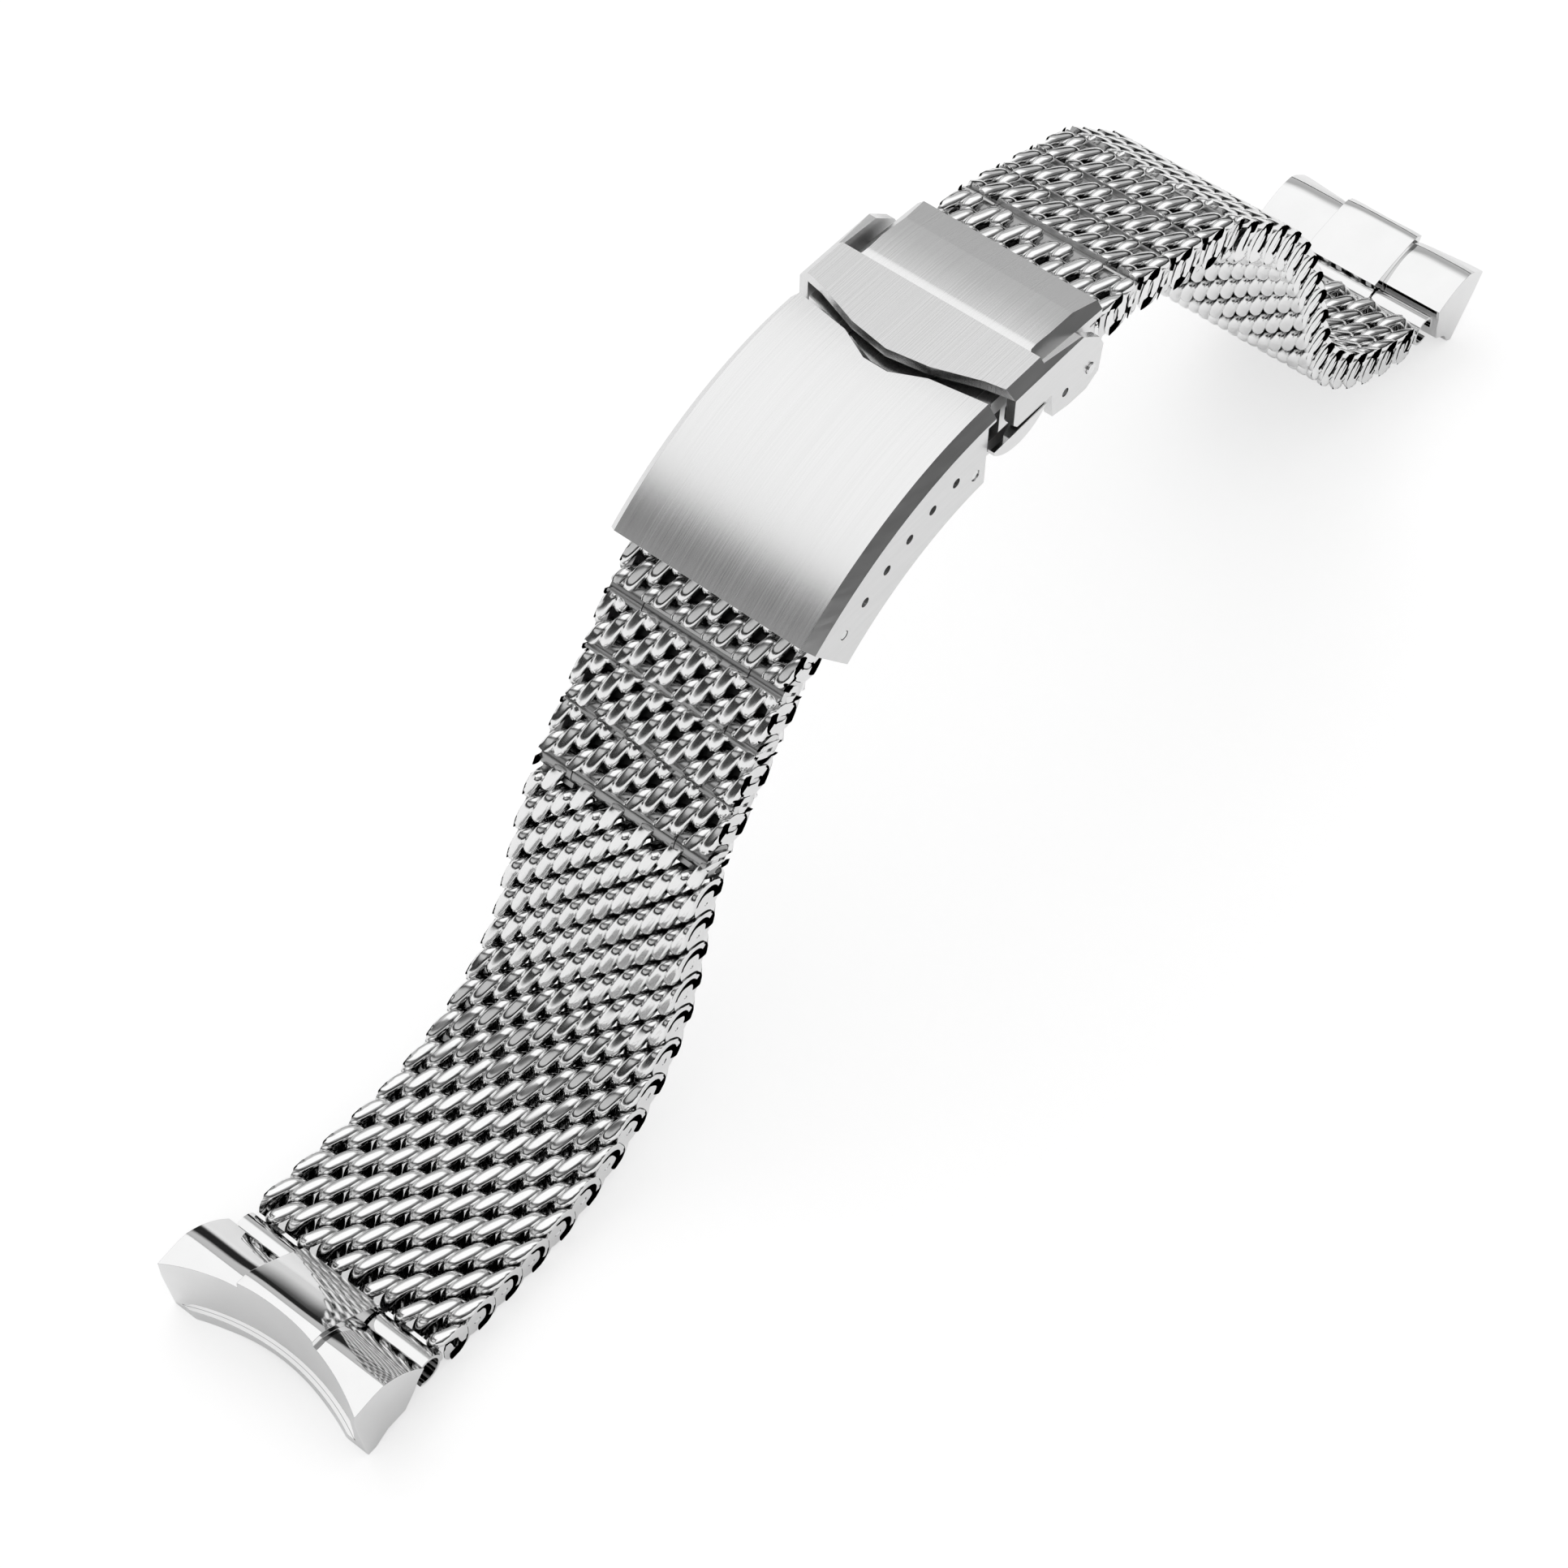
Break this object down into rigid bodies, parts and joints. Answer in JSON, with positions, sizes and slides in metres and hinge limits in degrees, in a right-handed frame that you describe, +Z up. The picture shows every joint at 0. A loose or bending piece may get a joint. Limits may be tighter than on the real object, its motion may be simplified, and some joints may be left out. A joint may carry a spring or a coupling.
{
  "type": "mesh watch band",
  "caption": "Woven steel mesh watch band with curved lug links, removable links and a folding push-button clasp, standing in an arch.",
  "frame": {"origin": "on the table under the middle of the bounding box", "axes": "+X along the band from the adjustable end toward the latch end, +Y across the band, +Z up"},
  "size_m": [0.167, 0.0222, 0.0586],
  "materials": {
    "woven_wire": "polished wire",
    "polished_steel": "mirror polished",
    "link_steel": "polished",
    "brushed_steel": "brushed along the band"
  },
  "bodies": {
    "clasp_cover": {"clasp_cover": "brushed_steel", "clasp_bar": "polished_steel", "cover_hinge_pin": "polished_steel"},
    "near_clasp_link": {"near_clasp_link": "link_steel"},
    "near_link_3": {"near_link_3": "link_steel", "near_hinge_pin_4": "polished_steel"},
    "near_link_2": {"near_link_2": "link_steel", "near_hinge_pin_3": "polished_steel"},
    "near_link_1": {"near_link_1": "link_steel", "near_hinge_pin_2": "polished_steel"},
    "near_mesh_8": {"near_mesh_8": "woven_wire", "near_knuckles": "link_steel", "near_hinge_pin_1": "polished_steel"},
    "near_mesh_7": {"near_mesh_7": "woven_wire"},
    "near_mesh_6": {"near_mesh_6": "woven_wire"},
    "near_mesh_5": {"near_mesh_5": "woven_wire"},
    "near_mesh_4": {"near_mesh_4": "woven_wire"},
    "near_mesh_3": {"near_mesh_3": "woven_wire"},
    "near_mesh_2": {"near_mesh_2": "woven_wire"},
    "near_mesh_1": {"near_mesh_1": "woven_wire", "near_end_ferrule": "link_steel"},
    "near_end_link": {"near_end_link": "polished_steel"},
    "fold_blade_inner": {"fold_blade_inner": "brushed_steel", "blade_hinge_pin": "polished_steel"},
    "fold_blade_outer": {"fold_blade_outer": "brushed_steel", "flap_bar": "polished_steel", "button_spring": "polished_steel"},
    "lock_flap": {"lock_flap": "brushed_steel"},
    "push_button_left": {"push_button_left": "polished_steel"},
    "push_button_right": {"push_button_right": "polished_steel"},
    "far_clasp_link": {"far_clasp_link": "link_steel", "far_hinge_pin_1": "polished_steel"},
    "far_link_1": {"far_link_1": "link_steel", "far_hinge_pin_2": "polished_steel"},
    "far_link_2": {"far_link_2": "link_steel", "far_hinge_pin_3": "polished_steel"},
    "far_link_3": {"far_link_3": "link_steel", "far_hinge_pin_4": "polished_steel"},
    "far_mesh_1": {"far_mesh_1": "woven_wire", "far_knuckles": "link_steel"},
    "far_mesh_2": {"far_mesh_2": "woven_wire"},
    "far_mesh_3": {"far_mesh_3": "woven_wire"},
    "far_mesh_4": {"far_mesh_4": "woven_wire"},
    "far_mesh_5": {"far_mesh_5": "woven_wire"},
    "far_mesh_6": {"far_mesh_6": "woven_wire"},
    "far_mesh_7": {"far_mesh_7": "woven_wire"},
    "far_mesh_8": {"far_mesh_8": "woven_wire"},
    "far_mesh_9": {"far_mesh_9": "woven_wire", "far_end_ferrule": "link_steel"},
    "far_end_link": {"far_end_link": "polished_steel"},
    "clasp_bar_tip_left": {"clasp_bar_tip_left": "polished_steel"},
    "clasp_bar_tip_right": {"clasp_bar_tip_right": "polished_steel"}
  },
  "joints": [
    {"name": "near_clasp_joint", "type": "hinge", "parent": "clasp_cover", "child": "near_clasp_link", "pos_m": [-0.02256, 0, 0.04763], "axis": [0, 1, 0], "range_deg": [-30, 12]},
    {"name": "near_link_joint_4", "type": "hinge", "parent": "near_clasp_link", "child": "near_link_3", "pos_m": [-0.02713, 0, 0.04344], "axis": [0, 1, 0], "range_deg": [-16, 24]},
    {"name": "near_link_joint_3", "type": "hinge", "parent": "near_link_3", "child": "near_link_2", "pos_m": [-0.03, 0, 0.03911], "axis": [0, -1, 0], "range_deg": [-9, 31]},
    {"name": "near_link_joint_2", "type": "hinge", "parent": "near_link_2", "child": "near_link_1", "pos_m": [-0.03294, 0, 0.03483], "axis": [0, 1, 0], "range_deg": [-35, 5]},
    {"name": "near_link_joint_1", "type": "hinge", "parent": "near_link_1", "child": "near_mesh_8", "pos_m": [-0.0362, 0, 0.0308], "axis": [0, -1, 0], "range_deg": [-23, 17]},
    {"name": "near_flex_7", "type": "hinge", "parent": "near_mesh_8", "child": "near_mesh_7", "pos_m": [-0.03881, 0, 0.0244], "axis": [0, -1, 0], "range_deg": [-10, 10]},
    {"name": "near_flex_6", "type": "hinge", "parent": "near_mesh_7", "child": "near_mesh_6", "pos_m": [-0.04069, 0, 0.01774], "axis": [0, 1, 0], "range_deg": [-10, 10]},
    {"name": "near_flex_5", "type": "hinge", "parent": "near_mesh_6", "child": "near_mesh_5", "pos_m": [-0.0435, 0, 0.01145], "axis": [0, -1, 0], "range_deg": [-10, 10]},
    {"name": "near_flex_4", "type": "hinge", "parent": "near_mesh_5", "child": "near_mesh_4", "pos_m": [-0.04819, 0, 0.0064], "axis": [0, 1, 0], "range_deg": [-10, 10]},
    {"name": "near_flex_3", "type": "hinge", "parent": "near_mesh_4", "child": "near_mesh_3", "pos_m": [-0.05426, 0, 0.00314], "axis": [0, -1, 0], "range_deg": [-10, 10]},
    {"name": "near_flex_2", "type": "hinge", "parent": "near_mesh_3", "child": "near_mesh_2", "pos_m": [-0.06105, 0, 0.00201], "axis": [0, 1, 0], "range_deg": [-10, 10]},
    {"name": "near_flex_1", "type": "hinge", "parent": "near_mesh_2", "child": "near_mesh_1", "pos_m": [-0.06797, 0, 0.00215], "axis": [0, -1, 0], "range_deg": [-10, 10]},
    {"name": "near_lug_joint", "type": "hinge", "parent": "near_mesh_1", "child": "near_end_link", "pos_m": [-0.07489, 0, 0.0023], "axis": [0, -1, 0], "range_deg": [0, 30]},
    {"name": "blade_joint", "type": "hinge", "parent": "fold_blade_inner", "child": "fold_blade_outer", "pos_m": [-0.01915, 0, 0.04674], "axis": [0, 1, 0], "range_deg": [0, 110]},
    {"name": "cover_joint", "type": "hinge", "parent": "clasp_cover", "child": "fold_blade_inner", "pos_m": [-0.006, 0, 0.05205], "axis": [0, -1, 0], "range_deg": [0, 55]},
    {"name": "flap_joint", "type": "hinge", "parent": "fold_blade_outer", "child": "lock_flap", "pos_m": [0.00858, 0, 0.05299], "axis": [0, 1, 0], "range_deg": [0, 110]},
    {"name": "button_left_slide", "type": "slide", "parent": "fold_blade_outer", "child": "push_button_left", "axis": [0, -1, 0], "range_m": [0, 0.0008], "stiffness_N_per_m": 200},
    {"name": "button_right_slide", "type": "slide", "parent": "fold_blade_outer", "child": "push_button_right", "axis": [0, 1, 0], "range_m": [0, 0.0008], "stiffness_N_per_m": 200},
    {"name": "far_clasp_joint", "type": "hinge", "parent": "fold_blade_outer", "child": "far_clasp_link", "pos_m": [0.00858, 0, 0.05299], "axis": [0, 1, 0], "range_deg": [-5, 30]},
    {"name": "far_link_joint_1", "type": "hinge", "parent": "far_clasp_link", "child": "far_link_1", "pos_m": [0.01757, 0, 0.05268], "axis": [0, -1, 0], "range_deg": [-14, 26]},
    {"name": "far_link_joint_2", "type": "hinge", "parent": "far_link_1", "child": "far_link_2", "pos_m": [0.02252, 0, 0.05112], "axis": [0, 1, 0], "range_deg": [-8, 32]},
    {"name": "far_link_joint_3", "type": "hinge", "parent": "far_link_2", "child": "far_link_3", "pos_m": [0.02751, 0, 0.04969], "axis": [0, -1, 0], "range_deg": [-29, 11]},
    {"name": "far_link_joint_4", "type": "hinge", "parent": "far_link_3", "child": "far_mesh_1", "pos_m": [0.03249, 0, 0.04821], "axis": [0, 1, 0], "range_deg": [-33, 7]},
    {"name": "far_flex_1", "type": "hinge", "parent": "far_mesh_1", "child": "far_mesh_2", "pos_m": [0.03785, 0, 0.04385], "axis": [0, 1, 0], "range_deg": [-10, 10]},
    {"name": "far_flex_2", "type": "hinge", "parent": "far_mesh_2", "child": "far_mesh_3", "pos_m": [0.04291, 0, 0.03914], "axis": [0, -1, 0], "range_deg": [-10, 10]},
    {"name": "far_flex_3", "type": "hinge", "parent": "far_mesh_3", "child": "far_mesh_4", "pos_m": [0.04675, 0, 0.0334], "axis": [0, 1, 0], "range_deg": [-10, 10]},
    {"name": "far_flex_4", "type": "hinge", "parent": "far_mesh_4", "child": "far_mesh_5", "pos_m": [0.04953, 0, 0.02707], "axis": [0, -1, 0], "range_deg": [-10, 10]},
    {"name": "far_flex_5", "type": "hinge", "parent": "far_mesh_5", "child": "far_mesh_6", "pos_m": [0.0516, 0, 0.02047], "axis": [0, 1, 0], "range_deg": [-10, 10]},
    {"name": "far_flex_6", "type": "hinge", "parent": "far_mesh_6", "child": "far_mesh_7", "pos_m": [0.0552, 0, 0.01463], "axis": [0, -1, 0], "range_deg": [-10, 10]},
    {"name": "far_flex_7", "type": "hinge", "parent": "far_mesh_7", "child": "far_mesh_8", "pos_m": [0.06043, 0, 0.01013], "axis": [0, 1, 0], "range_deg": [-10, 10]},
    {"name": "far_flex_8", "type": "hinge", "parent": "far_mesh_8", "child": "far_mesh_9", "pos_m": [0.0666, 0, 0.00703], "axis": [0, -1, 0], "range_deg": [-10, 10]},
    {"name": "far_lug_joint", "type": "hinge", "parent": "far_mesh_9", "child": "far_end_link", "pos_m": [0.07334, 0, 0.00554], "axis": [0, 1, 0], "range_deg": [-22, 12]},
    {"name": "bar_tip_left_slide", "type": "slide", "parent": "clasp_cover", "child": "clasp_bar_tip_left", "axis": [0, -1, 0], "range_m": [0, 0.0009], "stiffness_N_per_m": 200},
    {"name": "bar_tip_right_slide", "type": "slide", "parent": "clasp_cover", "child": "clasp_bar_tip_right", "axis": [0, 1, 0], "range_m": [0, 0.0009], "stiffness_N_per_m": 200}
  ],
  "couplings": [
    {"joint": "cover_joint", "follows": "blade_joint", "ratio": 0.5}
  ]
}
